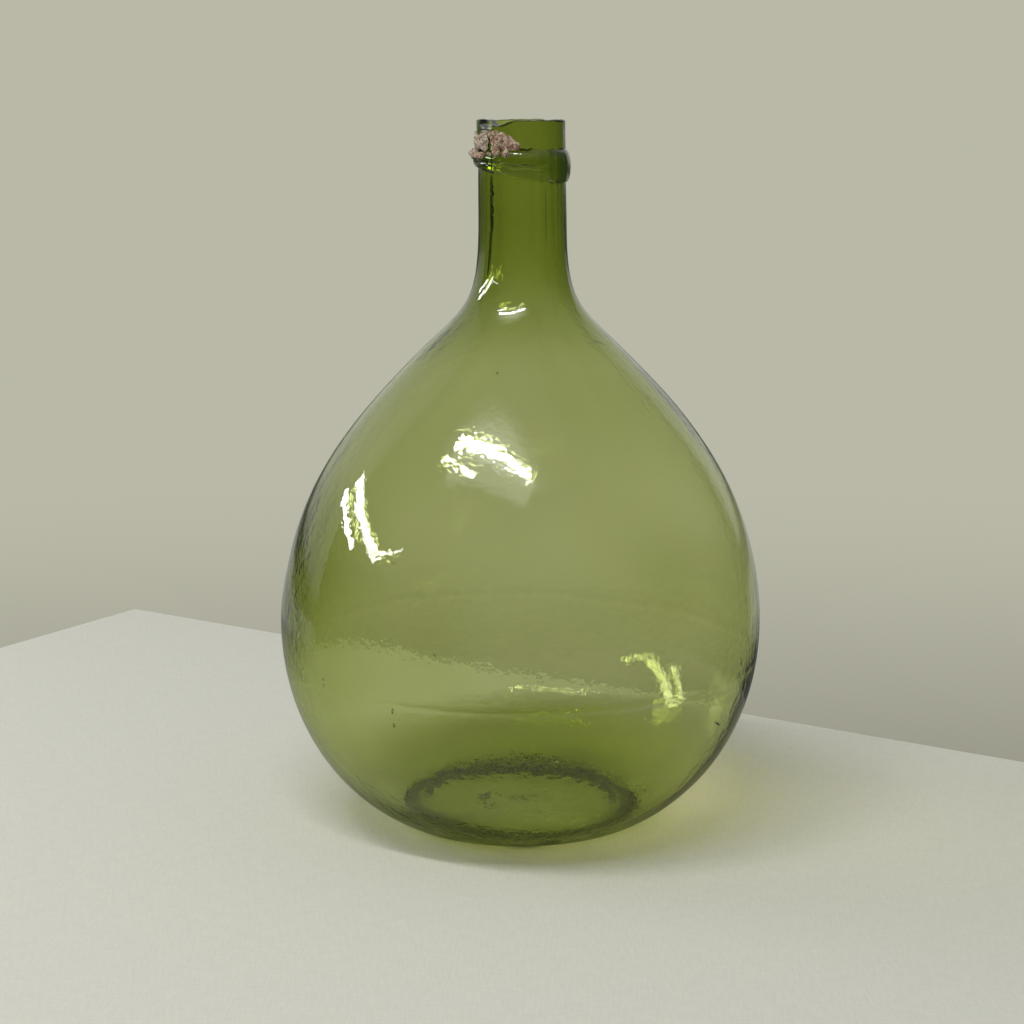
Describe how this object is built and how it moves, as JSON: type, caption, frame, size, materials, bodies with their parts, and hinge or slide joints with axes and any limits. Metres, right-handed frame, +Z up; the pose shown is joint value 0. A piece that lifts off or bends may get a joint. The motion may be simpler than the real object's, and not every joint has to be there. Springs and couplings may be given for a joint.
{
  "type": "demijohn",
  "caption": "Bulbous green blown-glass demijohn with a straight neck, an applied glass ring below an uneven chipped lip, remains of a wax seal and a pushed-up base.",
  "frame": {"origin": "middle of the foot, on the surface that the demijohn stands on", "axes": "+Z up through the mouth, -Y the front, +X to the right as seen from the front"},
  "size_m": [0.22, 0.22, 0.32],
  "materials": {
    "green_glass": "clear olive green, glossy, faintly wavy",
    "scar_glass": "rough broken glass",
    "grey_wax": "dry, crumbled sealing wax gone pale grey",
    "pink_wax": "dry, crumbled sealing wax, faded pinkish brown"
  },
  "bodies": {
    "root": {"bottle_body": "green_glass", "neck_collar": "green_glass", "pontil_scar": "scar_glass", "seal_wax_left": "grey_wax", "seal_wax_right": "pink_wax", "seal_wax_crumb": "pink_wax"}
  },
  "joints": []
}
